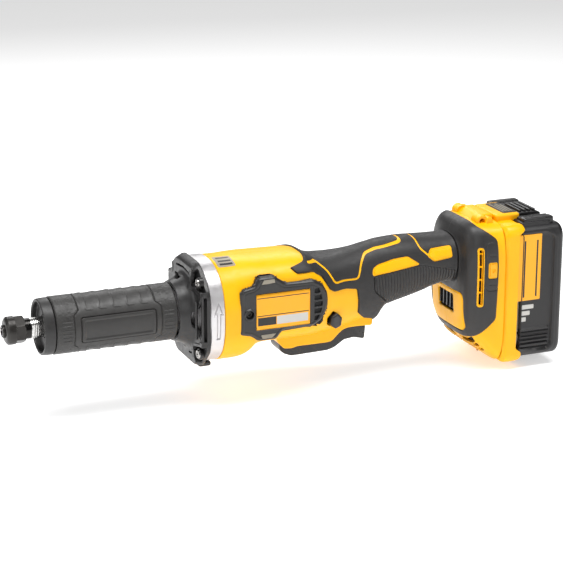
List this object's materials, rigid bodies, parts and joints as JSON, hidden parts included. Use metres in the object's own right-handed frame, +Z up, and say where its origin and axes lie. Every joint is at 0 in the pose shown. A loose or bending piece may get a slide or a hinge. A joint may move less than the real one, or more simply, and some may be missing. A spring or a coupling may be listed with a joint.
{
  "type": "die grinder",
  "caption": "Cordless straight die grinder: rubber booted nose with a collet, motor housing, soft grip, trigger paddle with lock-off, and an upright slide battery at the rear.",
  "frame": {"origin": "centre of the collet mouth, on the spindle axis", "axes": "+X along the spindle axis from the collet to the battery, +Z up, the trigger on the -Z side"},
  "size_m": [0.4634, 0.0816, 0.1295],
  "materials": {
    "yellow_plastic": "moulded, light grain",
    "soft_grip": "fine pebble texture",
    "boot_rubber": "fine leather texture",
    "dark_plastic": "moulded, light grain",
    "black_plastic": "moulded, fine texture",
    "cast_alloy": "blasted and machined",
    "bright_steel": "turned and ground",
    "black_steel": "black oxide",
    "zinc_screw": "zinc plated",
    "spring_steel": "drawn wire",
    "lamination": "stacked sheet",
    "magnet": "nickel plated",
    "copper_wire": "enamelled winding wire",
    "copper_blade": "tinned edge, rolled",
    "circuit_board": "solder mask",
    "potting": "cast resin",
    "cell_sleeve": "shrink sleeve",
    "insulator": "fibre sheet",
    "lead_insulation": "extruded",
    "label_sheet": "printed sheet",
    "inlay_plastic": "moulded"
  },
  "bodies": {
    "housing": {"front_bearing_outer": "bright_steel", "middle_bearing_outer": "bright_steel", "rear_bearing_outer": "bright_steel", "nose_sleeve": "cast_alloy", "boot_cap": "boot_rubber", "boot": "boot_rubber", "vent_cover": "dark_plastic", "vent_cover_screws": "zinc_screw", "bearing_plate": "cast_alloy", "stator_core": "lamination", "stator_windings": "copper_wire", "position_board": "circuit_board", "motor_leads": "lead_insulation", "housing_left": "yellow_plastic", "housing_right": "yellow_plastic", "handle_skin_left": "soft_grip", "handle_skin_right": "soft_grip", "housing_screws": "zinc_screw", "side_bezel_left": "dark_plastic", "side_bezel_right": "dark_plastic", "side_label_left": "label_sheet", "side_label_right": "label_sheet", "bezel_screws": "black_steel", "top_label": "label_sheet", "foot_inlay_left": "inlay_plastic", "foot_inlay_right": "inlay_plastic", "trigger_pin": "bright_steel", "trigger_spring": "spring_steel", "switch_module": "black_plastic", "control_module": "potting", "terminal_block": "black_plastic", "tool_blades": "copper_blade", "battery_rails": "dark_plastic"},
    "spindle": {"spindle": "bright_steel", "front_bearing_inner": "bright_steel", "middle_bearing_inner": "bright_steel", "rear_bearing_inner": "bright_steel", "cooling_fan": "black_plastic", "rotor_core": "lamination", "rotor_magnets": "magnet"},
    "collet_nut": {"collet_nut": "black_steel", "collet": "black_steel"},
    "trigger": {"trigger": "black_plastic"},
    "lock_off_button": {"lock_off_button": "black_plastic"},
    "battery": {"battery_rail_case": "yellow_plastic", "battery_case": "black_plastic", "battery_cells": "cell_sleeve", "cell_end_plates": "insulator", "battery_board": "circuit_board", "battery_terminals": "copper_blade", "latch_spring": "spring_steel", "battery_screws": "zinc_screw"},
    "battery_latch": {"battery_latch": "black_plastic"},
    "gauge_button": {"gauge_button": "dark_plastic"}
  },
  "joints": [
    {"name": "spindle_spin", "type": "hinge", "parent": "housing", "child": "spindle", "pos_m": [0.1, 0, 0], "axis": [1, 0, 0], "continuous": true},
    {"name": "collet_nut_release", "type": "slide", "parent": "spindle", "child": "collet_nut", "axis": [-1, 0, 0], "range_m": [0, 0.02]},
    {"name": "trigger_pull", "type": "hinge", "parent": "housing", "child": "trigger", "pos_m": [0.228, 0, -0.0375], "axis": [0, -1, 0], "range_deg": [0, 5.5], "stiffness_Nm_per_rad": 0.6, "springref_deg": -8.59, "deforming": ["trigger_spring"]},
    {"name": "lock_off_push", "type": "slide", "parent": "housing", "child": "lock_off_button", "axis": [0, 1, 0], "range_m": [0, 0.004], "stiffness_N_per_m": 300, "springref_m": -0.004},
    {"name": "battery_slide", "type": "slide", "parent": "housing", "child": "battery", "axis": [0, 0, 1], "range_m": [0, 0.12]},
    {"name": "latch_press", "type": "slide", "parent": "battery", "child": "battery_latch", "axis": [0, 0, -1], "range_m": [0, 0.003], "stiffness_N_per_m": 600, "springref_m": -0.003, "deforming": ["latch_spring"]},
    {"name": "gauge_press", "type": "slide", "parent": "battery", "child": "gauge_button", "axis": [0, 0, 1], "range_m": [0, 0.0008], "stiffness_N_per_m": 500, "springref_m": -0.001}
  ]
}
